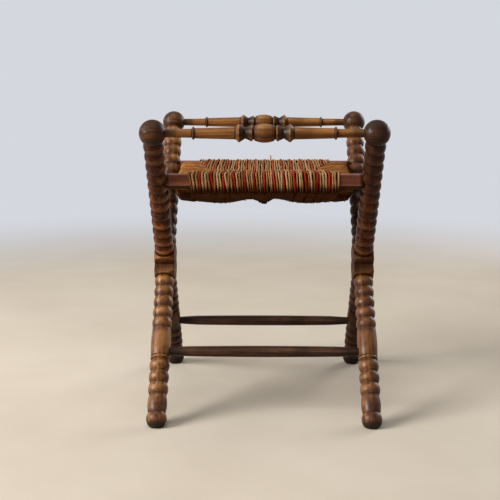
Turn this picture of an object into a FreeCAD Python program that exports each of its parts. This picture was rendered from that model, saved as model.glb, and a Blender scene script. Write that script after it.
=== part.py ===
import FreeCAD
import Part
import math
import os
import Sketcher

# Bobbin stool: two crossed side frames of bobbin-turned legs, turned top rails, plain stretchers and a
# straw seat wound over four rails. Lengths are in millimetres. The floor is z = 0, the front is -y, and the
# origin lies on the floor midway between the four feet.

SIZES = {
    # stance of the crossed legs
    "frame_spacing": 378,
    "ball_height": 515,
    "top_reach": 206,
    "foot_reach": 194,
    "foot_rest": 12.5,
    # turned legs
    "ball_diameter": 46,
    "neck_diameter": 28.5,
    "bead_diameter": 36.5,
    "groove_diameter": 30.5,
    "groove_width": 0.8,
    "upper_bead_pitch": 23.5,
    "lower_bead_pitch": 21.5,
    "block_side": 38,
    "block_length": 66,
    "block_chamfer": 2,
    "block_shoulder": 6,
    "block_land": 0.4,
    "plain_length": 54,
    "plain_diameter": 34,
    "plain_swell": 1.2,
    "ankle_ring_width": 7,
    "ankle_ring_diameter": 35,
    "ankle_bead_count": 3,
    "ankle_bead_pitch": 22.3,
    "long_bead_length": 33,
    "long_bead_diameter": 35,
    "foot_diameter": 36.5,
    # turned top rails
    "top_rail_end_diameter": 14,
    "top_rail_shoulder_diameter": 15.5,
    "top_rail_end_length": 44,
    "top_rail_ring_width": 4,
    "top_rail_ring_diameter": 22,
    "top_rail_taper_start_diameter": 17.5,
    "top_rail_taper_end_diameter": 21,
    "barrel_length": 34,
    "barrel_diameter": 32,
    "barrel_end_diameter": 25,
    "barrel_groove_diameter": 21,
    "barrel_groove_width": 2,
    "inner_collar_width": 5,
    "inner_collar_diameter": 28,
    "waist_length": 17,
    "waist_diameter": 18,
    "outer_collar_width": 8,
    "outer_collar_diameter": 31.5,
    # plain stretchers
    "stretcher_height": 112,
    "stretcher_diameter": 20.5,
    "stretcher_shoulder_diameter": 18.5,
    "stretcher_end_diameter": 14.5,
    "stretcher_taper_length": 34,
    # seat frame
    "seat_drop": 89,
    "seat_rail_section_height": 26,
    "seat_rail_section_depth": 26,
    "seat_rail_bevel_height": 7,
    "seat_rail_bevel_depth": 6,
    "seat_rail_rounding": 2,
    "seat_tenon_diameter": 15,
    "side_rail_spacing": 284,
    "side_rail_section_height": 18,
    "side_rail_section_width": 18,
    "side_tenon_diameter": 10,
    "side_tenon_length": 12,
    # straw seat
    "straw_thickness": 4,
    "seam_dip": 9,
    "panel_crown": 2.5,
    "rail_sag": 2,
    "belly_depth": 38,
    "belly_lobe_offset": 80,
    "belly_lobe_rise": 9,
    "belly_swell": 5,
    "side_belly_depth": 28,
    "side_dip": 1,
    "side_swell": 8,
    "side_swell_length": 190,
    "side_swell_height": 16,
    # fits
    "tenon_clearance": 0.15,
    "tenon_end_gap": 0.5,
    "shoulder_gap": 0.2,
    "lap_clearance": 0.05,
    "straw_clearance": 0.2,
}

document = FreeCAD.newDocument("bobbin_stool")
sheet = document.addObject("Spreadsheet::Sheet", "Sizes")
for row, (alias, number) in enumerate(SIZES.items(), start=1):
    sheet.set("A%d" % row, alias)
    sheet.set("B%d" % row, str(number))
    sheet.setAlias("B%d" % row, alias)
document.recompute()


class Term:
    """A size worked out from the sheet: its present value and the expression that drives a feature."""

    def __init__(self, value, text):
        self.value = value
        self.text = text

    def __add__(self, other):
        other = term(other)
        return Term(self.value + other.value, "(%s + %s)" % (self.text, other.text))

    def __sub__(self, other):
        other = term(other)
        return Term(self.value - other.value, "(%s - %s)" % (self.text, other.text))

    def __mul__(self, other):
        other = term(other)
        return Term(self.value * other.value, "(%s * %s)" % (self.text, other.text))

    def __truediv__(self, other):
        other = term(other)
        return Term(self.value / other.value, "(%s / %s)" % (self.text, other.text))

    def __neg__(self):
        return Term(-self.value, "(-%s)" % self.text)


def term(number):
    return number if isinstance(number, Term) else Term(float(number), repr(number))


def size(alias):
    return Term(float(sheet.get(alias)), "Sizes.%s" % alias)


def root(square):
    return Term(math.sqrt(square.value), "sqrt(%s)" % square.text)


def lean_of(run, rise):
    """The angle, in degrees, of a line with this run and rise."""
    return Term(math.degrees(math.atan2(run.value, rise.value)), "atan2(%s; %s)" % (run.text, rise.text))


def cosine(angle):
    return Term(math.cos(math.radians(angle.value)), "cos(%s)" % angle.text)


def tangent(angle):
    return Term(math.tan(math.radians(angle.value)), "tan(%s)" % angle.text)


def whole(length, step):
    """How many copies of a step fit a length best, at least one."""
    ratio = length / step
    return Term(max(1, round(ratio.value)), "max(1; round(%s))" % ratio.text)


def bind(thing, name, size_term):
    thing.setExpression(name, size_term.text)


def place(thing, x, y, z, turn=term(0)):
    """Puts a sub-part at a point, turned about the x axis, with each number tied to the sheet."""
    thing.Placement = FreeCAD.Placement(
        FreeCAD.Vector(x.value, y.value, z.value), FreeCAD.Rotation(FreeCAD.Vector(1, 0, 0), turn.value))
    bind(thing, "Placement.Base.x", x)
    bind(thing, "Placement.Base.y", y)
    bind(thing, "Placement.Base.z", z)
    if turn.value:
        bind(thing, "Placement.Rotation.Angle", turn)


def origin_feature(body, role):
    for feature in body.Origin.OriginFeatures:
        if feature.Role == role:
            return feature
    raise ValueError("no origin feature " + role)


def attach(body, name, plane, turn=None):
    """A sketch on one of the body's own planes, turned in that plane where asked."""
    sketch = body.newObject("Sketcher::SketchObject", name)
    sketch.AttachmentSupport = [(origin_feature(body, plane), "")]
    sketch.MapMode = "FlatFace"
    if turn is not None:
        sketch.AttachmentOffset = FreeCAD.Placement(
            FreeCAD.Vector(), FreeCAD.Rotation(FreeCAD.Vector(0, 0, 1), turn.value))
        bind(sketch, "AttachmentOffset.Rotation.Angle", turn)
    return sketch


def drive(sketch, kind, *where):
    """Adds a dimension to a sketch, driven by the term that comes last."""
    target = where[-1]
    index = sketch.addConstraint(Sketcher.Constraint(kind, *where[:-1], target.value))
    bind(sketch, "Constraints[%d]" % index, target)


ORIGIN = (-1, 1)


def fix_point(sketch, edge, end, x, y):
    drive(sketch, "DistanceX", *ORIGIN, edge, end, x)
    drive(sketch, "DistanceY", *ORIGIN, edge, end, y)


def draw_outline(sketch, corners):
    """Draws a closed outline of lines and arcs.

    A corner is (x, y) or (x, y, bulge), where bulge is how far the edge to the next corner swells to the left
    of a straight line.
    """
    corners = [tuple(term(number) for number in corner) for corner in corners]
    ends = []
    for corner, following in zip(corners, corners[1:] + corners[:1]):
        start = FreeCAD.Vector(corner[0].value, corner[1].value, 0)
        finish = FreeCAD.Vector(following[0].value, following[1].value, 0)
        if len(corner) == 2:
            edge = sketch.addGeometry(Part.LineSegment(start, finish))
            ends.append((edge, 1, 2))
            continue
        run = following[0] - corner[0]
        rise = following[1] - corner[1]
        bulge = corner[2]
        chord = FreeCAD.Vector(run.value, rise.value, 0)
        left = FreeCAD.Vector(-rise.value, run.value, 0).normalize()
        middle = start + chord * 0.5 + left * bulge.value
        edge = sketch.addGeometry(Part.Arc(start, middle, finish))
        forward = sketch.getPoint(edge, 1).isEqual(start, 1e-6)
        ends.append((edge, 1, 2) if forward else (edge, 2, 1))
        square = run * run + rise * rise
        radius = (square / 4 + bulge * bulge) / (bulge * 2)
        if bulge.value < 0:
            radius = -radius
        drive(sketch, "Radius", edge, radius)
    for (edge, first, last), (next_edge, next_first, next_last) in zip(ends, ends[1:] + ends[:1]):
        sketch.addConstraint(Sketcher.Constraint("Coincident", edge, last, next_edge, next_first))
    for (edge, first, last), corner in zip(ends, corners):
        fix_point(sketch, edge, first, corner[0], corner[1])


def rectangle(left, bottom, right, top):
    return [(left, bottom), (right, bottom), (right, top), (left, top)]


def revolve(body, name, plane, axis, corners, kind="Revolution"):
    """Turns a half outline about an axis: a Revolution adds the ring, a Groove cuts it away."""
    sketch = attach(body, name + "_profile", plane)
    draw_outline(sketch, corners)
    feature = body.newObject("PartDesign::" + kind, name)
    feature.Profile = sketch
    feature.ReferenceAxis = (sketch, [axis])
    feature.Angle = 360
    return feature


def repeat_along_z(body, name, feature, step, count):
    pattern = body.newObject("PartDesign::LinearPattern", name)
    pattern.Originals = [feature]
    pattern.Direction = (origin_feature(body, "Z_Axis"), [""])
    bind(pattern, "Length", step * (count - 1))
    bind(pattern, "Occurrences", count)
    body.Tip = pattern
    return pattern


def mirror(body, name, features, plane):
    mirrored = body.newObject("PartDesign::Mirrored", name)
    mirrored.Originals = features
    mirrored.MirrorPlane = (origin_feature(body, plane), [""])
    body.Tip = mirrored
    return mirrored


def pad(body, name, plane, corners, length, both_ways=False):
    sketch = attach(body, name + "_outline", plane)
    draw_outline(sketch, corners)
    feature = body.newObject("PartDesign::Pad", name)
    feature.Profile = sketch
    feature.SideType = "Symmetric" if both_ways else "One side"
    bind(feature, "Length", length)
    return feature


def cut(body, name, sketch, along_normal=True, both_ways=False, depth=None):
    """Pockets a sketch and makes sure that material went."""
    document.recompute()
    before = body.Shape.Volume
    feature = body.newObject("PartDesign::Pocket", name)
    feature.Profile = sketch
    feature.SideType = "Symmetric" if both_ways else "One side"
    feature.Reversed = along_normal
    if depth is None:
        feature.Type = "ThroughAll"
    else:
        bind(feature, "Length", depth)
    document.recompute()
    if not body.Shape.Volume < before - 1:
        raise ValueError("%s cut nothing from %s" % (name, body.Label))
    return feature


def new_body(label):
    body = document.addObject("PartDesign::Body", label)
    body.Label = label
    return body


# Signs of the two ends and the two sides, and how many lengths of belly lie on each side of the middle.
FRONT, BACK = -1, 1
LEFT, RIGHT = -1, 1
BELLY_STATIONS = 4

# Stance: each leg runs from the middle of a ball at the top to the middle of the bun foot on the opposite
# side, and the two legs of a side frame cross where their lines meet.
frame_half = size("frame_spacing") / 2
leg_spread = size("top_reach") + size("foot_reach")
leg_rise = size("ball_height") - size("foot_rest")
lean = lean_of(leg_spread, leg_rise)
cross_height = size("foot_rest") + leg_rise * size("foot_reach") / leg_spread
upper_length = (size("ball_height") - cross_height) / cosine(lean)
lower_length = (cross_height - size("foot_rest")) / cosine(lean)

# Places along a leg, from the crossing towards the ball.
block_half = size("block_length") / 2
ball_radius = size("ball_diameter") / 2
neck_radius = size("neck_diameter") / 2
neck_drop = root(ball_radius * ball_radius - neck_radius * neck_radius)
neck_place = upper_length - neck_drop
core_radius = size("groove_diameter") / 2
bead_rise = (size("bead_diameter") - size("groove_diameter")) / 2
upper_run = neck_place - block_half
upper_count = whole(upper_run, size("upper_bead_pitch"))

# Places along a leg, from the crossing towards the foot.
foot_radius = size("foot_diameter") / 2
foot_top = lower_length - root(foot_radius * foot_radius - core_radius * core_radius)
long_bead_top = foot_top - size("long_bead_length")
ankle_beads_top = long_bead_top - size("ankle_bead_pitch") * size("ankle_bead_count")
ankle_ring_top = ankle_beads_top - size("ankle_ring_width")
plain_top = ankle_ring_top - size("plain_length")
lower_run = plain_top - block_half
lower_count = whole(lower_run, size("lower_bead_pitch"))

# Rails lie on the legs' own lines, so each height gives a place along the leg and a reach from the middle.
seat_height = size("ball_height") - size("seat_drop")
seat_rail_place = (seat_height - cross_height) / cosine(lean)
seat_rail_reach = (seat_height - cross_height) * tangent(lean)
stretcher_place = (cross_height - size("stretcher_height")) / cosine(lean)
stretcher_reach = (cross_height - size("stretcher_height")) * tangent(lean)


def round_end_bulge(radius, neck):
    """How far the arc of a round end stands off the chord from its neck to its pole."""
    pole = radius + root(radius * radius - neck * neck)
    return radius - root(radius * radius - (neck * neck + pole * pole) / 4)


def shaft_corners():
    """Half outline of a leg without its beads, from the crown of the ball down to the bun foot, which is
    still a whole round end below the floor line."""
    plain_radius = size("plain_diameter") / 2
    ring_bulge = (size("ankle_ring_diameter") - size("groove_diameter")) / 2
    long_bulge = (size("long_bead_diameter") - size("groove_diameter")) / 2
    return [
        (0, upper_length + ball_radius, round_end_bulge(ball_radius, neck_radius)),
        (neck_radius, neck_place),
        (core_radius, neck_place),
        (core_radius, -plain_top),
        (plain_radius, -plain_top, size("plain_swell")),
        (plain_radius, -ankle_ring_top),
        (core_radius, -ankle_ring_top, ring_bulge),
        (core_radius, -ankle_beads_top),
        (core_radius, -long_bead_top, long_bulge),
        (core_radius, -foot_top, round_end_bulge(foot_radius, core_radius)),
        (0, -lower_length - foot_radius),
    ]


def add_beads(body, name, bottom, step, count):
    """A run of equal beads, each a ring with a round outline that is rooted in the leg's core."""
    root_depth = size("groove_width") / 2
    root_radius = core_radius - root_depth
    gap_half = size("groove_width") / 2
    bead = revolve(body, name, "XZ_Plane", "V_Axis", [
        (root_radius, bottom + step - gap_half, bead_rise + root_depth),
        (root_radius, bottom + gap_half),
    ])
    return repeat_along_z(body, name + "_run", bead, step, count)


def make_leg(label, side, end):
    """One turned leg: side is -1 on the left, end is -1 where the ball is at the front."""
    body = new_body(label)
    revolve(body, "shaft", "XZ_Plane", "V_Axis", shaft_corners())
    add_beads(body, "upper_bead", block_half, upper_run / upper_count, upper_count)
    add_beads(body, "lower_bead", -plain_top, lower_run / lower_count, lower_count)
    add_beads(body, "ankle_bead", -long_bead_top, size("ankle_bead_pitch"), size("ankle_bead_count"))
    half = size("block_side") / 2
    corner = half - size("block_chamfer")
    pad(body, "block", "XY_Plane", [
        (-corner, -half), (corner, -half), (half, -corner), (half, corner),
        (corner, half), (-corner, half), (-half, corner), (-half, -corner),
    ], size("block_length"), both_ways=True)

    # Turned shoulders take the block's corners down to the round at both of its ends.
    corner_radius = root(half * half * 2)
    shoulder = revolve(body, "shoulder", "XZ_Plane", "V_Axis", [
        (half + size("block_land"), block_half),
        (corner_radius, block_half),
        (corner_radius, block_half - size("block_shoulder")),
    ], kind="Groove")
    mirror(body, "shoulders", [shoulder], "XY_Plane")

    # Cross lap: half of each block's thickness goes, over the width of the other leg's block.
    lap = attach(body, "lap_outline", "YZ_Plane", turn=lean * (2 * end))
    lap_half = half + size("lap_clearance")
    draw_outline(lap, rectangle(-lap_half, -size("block_length"), lap_half, size("block_length")))
    cut(body, "lap", lap, along_normal=(end * side > 0))

    # Round sockets reach in from the inner side as far as the leg's middle plane.
    sockets = attach(body, "socket_outline", "YZ_Plane")
    clearance = size("tenon_clearance") * 2
    for place_along, diameter in (
            (upper_length, size("top_rail_end_diameter")),
            (seat_rail_place, size("seat_tenon_diameter")),
            (-stretcher_place, size("stretcher_end_diameter"))):
        centre = FreeCAD.Vector(0, place_along.value, 0)
        radius = (diameter + clearance) / 2
        circle = sockets.addGeometry(Part.Circle(centre, FreeCAD.Vector(0, 0, 1), radius.value))
        sockets.addConstraint(Sketcher.Constraint("PointOnObject", circle, 3, -2))
        drive(sockets, "DistanceY", *ORIGIN, circle, 3, place_along)
        drive(sockets, "Radius", circle, radius)
    cut(body, "sockets", sockets, along_normal=(side < 0))

    # The foot is sawn level with the floor.
    floor = attach(body, "floor_outline", "YZ_Plane", turn=lean * end)
    margin = size("foot_diameter") * 2
    foot_middle = size("foot_reach") * -end
    draw_outline(floor, rectangle(
        foot_middle - margin, -cross_height - margin, foot_middle + margin, -cross_height))
    cut(body, "floor_cut", floor, both_ways=True)
    place(body, frame_half * side, term(0), cross_height, turn=lean * -end)
    return body


def make_top_rail(label, end):
    """A turned rail between two balls: a barrel between collars, and tapered arms with a ring on each."""
    body = new_body(label)
    tip = frame_half - size("tenon_end_gap")
    ring_outer = frame_half - ball_radius - size("top_rail_end_length")
    ring_inner = ring_outer - size("top_rail_ring_width")
    barrel_end = size("barrel_length") / 2
    inner_start = barrel_end + size("barrel_groove_width")
    inner_ridge = inner_start + size("inner_collar_width") / 2
    waist = inner_start + size("inner_collar_width") + size("waist_length") / 2
    outer_start = inner_start + size("inner_collar_width") + size("waist_length")
    outer_ridge = outer_start + size("outer_collar_width") / 4
    arm_start = outer_start + size("outer_collar_width")
    barrel_bulge = (size("barrel_diameter") - size("barrel_end_diameter")) / 2
    ring_bulge = (size("top_rail_ring_diameter") - size("top_rail_taper_start_diameter")) / 2
    arm = revolve(body, "half_rail", "XY_Plane", "H_Axis", [
        (-barrel_end, 0),
        (-barrel_end, size("barrel_end_diameter") / 2, barrel_bulge),
        (barrel_end, size("barrel_end_diameter") / 2),
        (barrel_end, size("barrel_groove_diameter") / 2),
        (inner_start, size("barrel_groove_diameter") / 2),
        (inner_ridge, size("inner_collar_diameter") / 2),
        (waist, size("waist_diameter") / 2),
        (outer_ridge, size("outer_collar_diameter") / 2),
        (arm_start, size("top_rail_taper_end_diameter") / 2),
        (ring_inner, size("top_rail_taper_start_diameter") / 2, ring_bulge),
        (ring_outer, size("top_rail_taper_start_diameter") / 2),
        (ring_outer, size("top_rail_shoulder_diameter") / 2),
        (frame_half - ball_radius, size("top_rail_end_diameter") / 2),
        (tip, size("top_rail_end_diameter") / 2),
        (tip, 0),
    ])
    mirror(body, "other_half", [arm], "YZ_Plane")
    place(body, term(0), size("top_reach") * end, size("ball_height"))
    return body


def make_stretcher(label, end):
    """A plain dowel, a little fuller in the middle, with tapered ends that enter the legs."""
    body = new_body(label)
    tip = frame_half - size("tenon_end_gap")
    leg_face = frame_half - size("bead_diameter") / 2
    shoulder = leg_face - size("stretcher_taper_length")
    end_radius = size("stretcher_end_diameter") / 2
    shoulder_radius = size("stretcher_shoulder_diameter") / 2
    swell = (size("stretcher_diameter") - size("stretcher_shoulder_diameter")) / 2
    revolve(body, "dowel", "XY_Plane", "H_Axis", [
        (-tip, 0),
        (-tip, end_radius),
        (-leg_face, end_radius),
        (-shoulder, shoulder_radius, swell),
        (shoulder, shoulder_radius),
        (leg_face, end_radius),
        (tip, end_radius),
        (tip, 0),
    ])
    place(body, term(0), stretcher_reach * end, size("stretcher_height"))
    return body


def round_edges(body, name, direction, radius):
    """Rounds every straight edge of the body's last feature that runs along one direction."""
    document.recompute()
    base = body.Tip
    edges = []
    for number, edge in enumerate(base.Shape.Edges, start=1):
        along = edge.tangentAt(edge.FirstParameter).dot(direction)
        if edge.Curve.TypeId == "Part::GeomLine" and abs(along) > 0.99:
            edges.append("Edge%d" % number)
    feature = body.newObject("PartDesign::Fillet", name)
    feature.Base = (base, edges)
    bind(feature, "Radius", radius)
    return feature


def make_seat_rail(label, end):
    """A front or back seat rail: square stock, bevelled below on its outer face, with round tenons for the
    legs and sockets for the side rails."""
    body = new_body(label)
    shoulder = frame_half - size("bead_diameter") / 2 - size("shoulder_gap")
    depth_half = size("seat_rail_section_depth") / 2
    height_half = size("seat_rail_section_height") / 2
    pad(body, "stock", "YZ_Plane", [
        (-depth_half * end, -height_half),
        ((depth_half - size("seat_rail_bevel_depth")) * end, -height_half),
        (depth_half * end, size("seat_rail_bevel_height") - height_half),
        (depth_half * end, height_half),
        (-depth_half * end, height_half),
    ], shoulder * 2, both_ways=True)
    round_edges(body, "eased_edges", FreeCAD.Vector(1, 0, 0), size("seat_rail_rounding"))
    tip = frame_half - size("tenon_end_gap")
    tenon_radius = size("seat_tenon_diameter") / 2
    revolve(body, "tenons", "XY_Plane", "H_Axis", rectangle(-tip, 0, tip, tenon_radius))

    # Sockets for the side rails open on the inner face.
    sockets = attach(body, "side_socket_outline", "XZ_Plane")
    radius = size("side_tenon_diameter") / 2 + size("tenon_clearance")
    for hand in (-1, 1):
        spot = size("side_rail_spacing") / 2 * hand
        centre = FreeCAD.Vector(spot.value, 0, 0)
        circle = sockets.addGeometry(Part.Circle(centre, FreeCAD.Vector(0, 0, 1), radius.value))
        sockets.addConstraint(Sketcher.Constraint("PointOnObject", circle, 3, -1))
        drive(sockets, "DistanceX", *ORIGIN, circle, 3, spot)
        drive(sockets, "Radius", circle, radius)
    cut(body, "side_sockets", sockets, along_normal=(end > 0))
    place(body, term(0), seat_rail_reach * end, seat_height)
    return body


def make_side_rail(label, side):
    """A side rail of the seat, tenoned into the front and back rails."""
    body = new_body(label)
    shoulder = seat_rail_reach - size("seat_rail_section_depth") / 2 - size("shoulder_gap")
    width_half = size("side_rail_section_width") / 2
    height_half = size("side_rail_section_height") / 2
    pad(body, "stock", "XZ_Plane", rectangle(-width_half, -height_half, width_half, height_half),
        shoulder * 2, both_ways=True)
    round_edges(body, "eased_edges", FreeCAD.Vector(0, 1, 0), size("seat_rail_rounding"))
    tip = shoulder + size("side_tenon_length")
    tenon_radius = size("side_tenon_diameter") / 2
    revolve(body, "tenons", "YZ_Plane", "H_Axis", rectangle(-tip, 0, tip, tenon_radius))
    place(body, size("side_rail_spacing") / 2 * side, term(0), seat_height)
    return body


def arc_edge(start, finish, bulge):
    """An edge in a plane of constant x that swells to the left of its travel, seen from +x."""
    chord = finish - start
    left = FreeCAD.Vector(0, -chord.z, chord.y).normalize()
    return Part.Arc(start, (start + finish) * 0.5 + left * bulge, finish).toShape()


def straw_section(x, reach, top, bottom, dip, crown, belly, swell, rounding):
    """Outline of the straw seat across the x axis: rolled front and back edges, two crowned panels that
    meet in a sunk seam, and the slack underside."""
    def point(y, z):
        return FreeCAD.Vector(x, y, z)

    roll = rounding * (1 - math.sqrt(0.5))
    high = top - rounding
    low = bottom + rounding
    edge = reach - rounding
    return Part.Wire([
        Part.LineSegment(point(-reach, low), point(-reach, high)).toShape(),
        arc_edge(point(-reach, high), point(-edge, top), roll),
        arc_edge(point(-edge, top), point(0, top - dip), crown),
        arc_edge(point(0, top - dip), point(edge, top), crown),
        arc_edge(point(edge, top), point(reach, high), roll),
        Part.LineSegment(point(reach, high), point(reach, low)).toShape(),
        arc_edge(point(reach, low), point(edge, bottom), roll),
        arc_edge(point(edge, bottom), point(0, bottom - belly), swell),
        arc_edge(point(0, bottom - belly), point(-edge, bottom), swell),
        arc_edge(point(-edge, bottom), point(-reach, low), roll),
    ])


def rail_passage(length, depth, height, rounding):
    """A rail's room in the winding: a bar along x, centred on the origin, with eased edges."""
    bar = Part.makeBox(length, depth, height, FreeCAD.Vector(-length / 2, -depth / 2, -height / 2))
    along = [edge for edge in bar.Edges if abs(edge.tangentAt(edge.FirstParameter).x) > 0.99]
    return bar.makeFillet(rounding, along)


def make_straw_seat(label):
    """The straw seat as one form wound round the four rails, with a slack belly and rolled sides."""
    value = {alias: size(alias).value for alias in SIZES}
    thickness = value["straw_thickness"]
    centre = seat_height.value
    rounding = thickness + value["seat_rail_rounding"]
    rail_half = value["seat_rail_section_height"] / 2
    rail_depth_half = value["seat_rail_section_depth"] / 2
    side_rail_half = value["side_rail_section_height"] / 2
    side_rail_width_half = value["side_rail_section_width"] / 2
    side_half = value["side_rail_spacing"] / 2
    wrap_half = side_half - side_rail_width_half
    lobe = value["belly_lobe_offset"]
    sag = value["rail_sag"]
    clearance = value["straw_clearance"]

    # Front-to-back winding, which hangs a little below the rails.
    reach = seat_rail_reach.value + rail_depth_half + thickness
    sections = []
    for station in range(-BELLY_STATIONS, BELLY_STATIONS + 1):
        x = wrap_half * station / BELLY_STATIONS
        rise = value["belly_lobe_rise"] * math.cos(math.pi * x / (2 * lobe)) ** 2
        sections.append(straw_section(
            x, reach, centre + rail_half + thickness, centre - rail_half - thickness - sag,
            value["seam_dip"], value["panel_crown"], value["belly_depth"] - rise, value["belly_swell"],
            rounding))
    shape = Part.makeLoft(sections, True, True)

    # Side-to-side winding, rolled over each side rail between the front and back rails. Each station has its
    # distance from the middle, its half length, its heights above the rail's middle, and its dip and belly.
    side_reach = seat_rail_reach.value - rail_depth_half - clearance
    side_face = side_half + side_rail_width_half
    side_high = side_rail_half + thickness
    side_dip = value["side_dip"]
    side_belly = value["side_belly_depth"]
    edge_high = rounding + side_dip
    swell_low = -edge_high - side_belly / 2
    stations = (
        (lobe, side_reach, side_high, -side_high, value["seam_dip"], value["belly_depth"] - thickness),
        (wrap_half, side_reach, side_high, -side_high, side_dip, side_belly + sag),
        (side_half, side_reach, side_high, -side_high, side_dip, side_belly),
        (side_face, side_reach, side_high - side_dip, side_dip - side_high, side_dip, side_belly),
        (side_face + thickness, side_reach, edge_high, -edge_high, side_dip, side_belly),
        (side_face + thickness + value["side_swell"], value["side_swell_length"] / 2,
         swell_low + value["side_swell_height"], swell_low, thickness, side_belly / 2),
    )
    for side in (LEFT, RIGHT):
        sections = []
        for x, half_length, high, low, dip, belly in stations:
            sections.append(straw_section(
                side * x, half_length, centre + high, centre + low, dip, value["panel_crown"], belly,
                value["belly_swell"], rounding))
        shape = shape.fuse(Part.makeLoft(sections, True, True))

    # The rails pass through the winding.
    eased = value["seat_rail_rounding"] + clearance
    for end in (FRONT, BACK):
        rail = rail_passage(value["frame_spacing"], 2 * (rail_depth_half + clearance),
                            2 * (rail_half + clearance), eased)
        rail.translate(FreeCAD.Vector(0, seat_rail_reach.value * end, centre))
        shape = shape.cut(rail)
    for side in (LEFT, RIGHT):
        rail = rail_passage(2 * seat_rail_reach.value, 2 * (side_rail_width_half + clearance),
                            2 * (side_rail_half + clearance), eased)
        rail.rotate(FreeCAD.Vector(), FreeCAD.Vector(0, 0, 1), 90)
        rail.translate(FreeCAD.Vector(side * side_half, 0, centre))
        shape = shape.cut(rail)
    feature = document.addObject("Part::Feature", label)
    feature.Label = label
    feature.Shape = shape
    feature.Placement = FreeCAD.Placement()
    return feature


subparts = []
for side_name, side in (("left", LEFT), ("right", RIGHT)):
    for end_name, end in (("front", FRONT), ("back", BACK)):
        subparts.append(make_leg("leg_%s_%s" % (side_name, end_name), side, end))
    subparts.append(make_side_rail("seat_rail_" + side_name, side))
for end_name, end in (("front", FRONT), ("back", BACK)):
    subparts.append(make_top_rail("top_rail_" + end_name, end))
    subparts.append(make_seat_rail("seat_rail_" + end_name, end))
    subparts.append(make_stretcher("stretcher_" + end_name, end))
subparts.append(make_straw_seat("rush_seat"))
document.recompute()

for thing in document.Objects:
    if "Invalid" in thing.State or "Error" in thing.State:
        raise ValueError("%s failed: %s" % (thing.Name, thing.State))
for subpart in subparts:
    if subpart.Shape.isNull() or not subpart.Shape.isValid() or len(subpart.Shape.Solids) != 1:
        raise ValueError("%s is not one valid solid" % subpart.Label)

os.makedirs("parts", exist_ok=True)
for subpart in subparts:
    subpart.Shape.exportStep("parts/%s.step" % subpart.Label)
    print(subpart.Label, round(subpart.Shape.Volume), "mm3")
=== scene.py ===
import math

import bpy
import numpy as np
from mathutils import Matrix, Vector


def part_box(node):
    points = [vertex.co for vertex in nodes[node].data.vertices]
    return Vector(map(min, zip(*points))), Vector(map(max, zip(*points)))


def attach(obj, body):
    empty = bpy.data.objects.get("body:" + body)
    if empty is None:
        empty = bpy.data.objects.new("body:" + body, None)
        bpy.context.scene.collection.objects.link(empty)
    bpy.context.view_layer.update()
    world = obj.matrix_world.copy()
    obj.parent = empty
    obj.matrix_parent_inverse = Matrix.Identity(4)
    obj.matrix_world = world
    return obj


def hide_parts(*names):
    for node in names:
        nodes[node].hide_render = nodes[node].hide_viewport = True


# Bobbin stool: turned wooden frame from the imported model, with a straw seat wound strand by strand.
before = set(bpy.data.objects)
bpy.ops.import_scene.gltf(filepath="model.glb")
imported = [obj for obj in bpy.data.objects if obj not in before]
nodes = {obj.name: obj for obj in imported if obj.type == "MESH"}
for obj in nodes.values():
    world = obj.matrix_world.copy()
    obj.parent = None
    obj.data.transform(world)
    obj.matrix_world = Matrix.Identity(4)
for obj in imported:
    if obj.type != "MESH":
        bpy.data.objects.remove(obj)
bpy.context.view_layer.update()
rng = np.random.default_rng(11)

X, Y, Z = 0, 1, 2
# The colour mix node's sockets, which share their names with others.
MIX_FACTOR, MIX_FIRST, MIX_SECOND, MIX_RESULT = 0, 6, 7, 2


def srgb(red, green, blue):
    """A colour given on screen, 0 to 255, as linear light."""
    linear = []
    for level in (red, green, blue):
        level = level / 255
        linear.append(level / 12.92 if level <= 0.04045 else ((level + 0.055) / 1.055) ** 2.4)
    return (*linear, 1.0)


def tinted(colour, tone):
    """A colour given on screen, with each of its three levels multiplied by its share in tone."""
    return srgb(*(level * share for level, share in zip(colour, tone)))


def add_piece(name, data):
    """An object in the scene that carries a mesh, a lamp or a camera."""
    piece = bpy.data.objects.new(name, data)
    bpy.context.scene.collection.objects.link(piece)
    return piece


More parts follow.
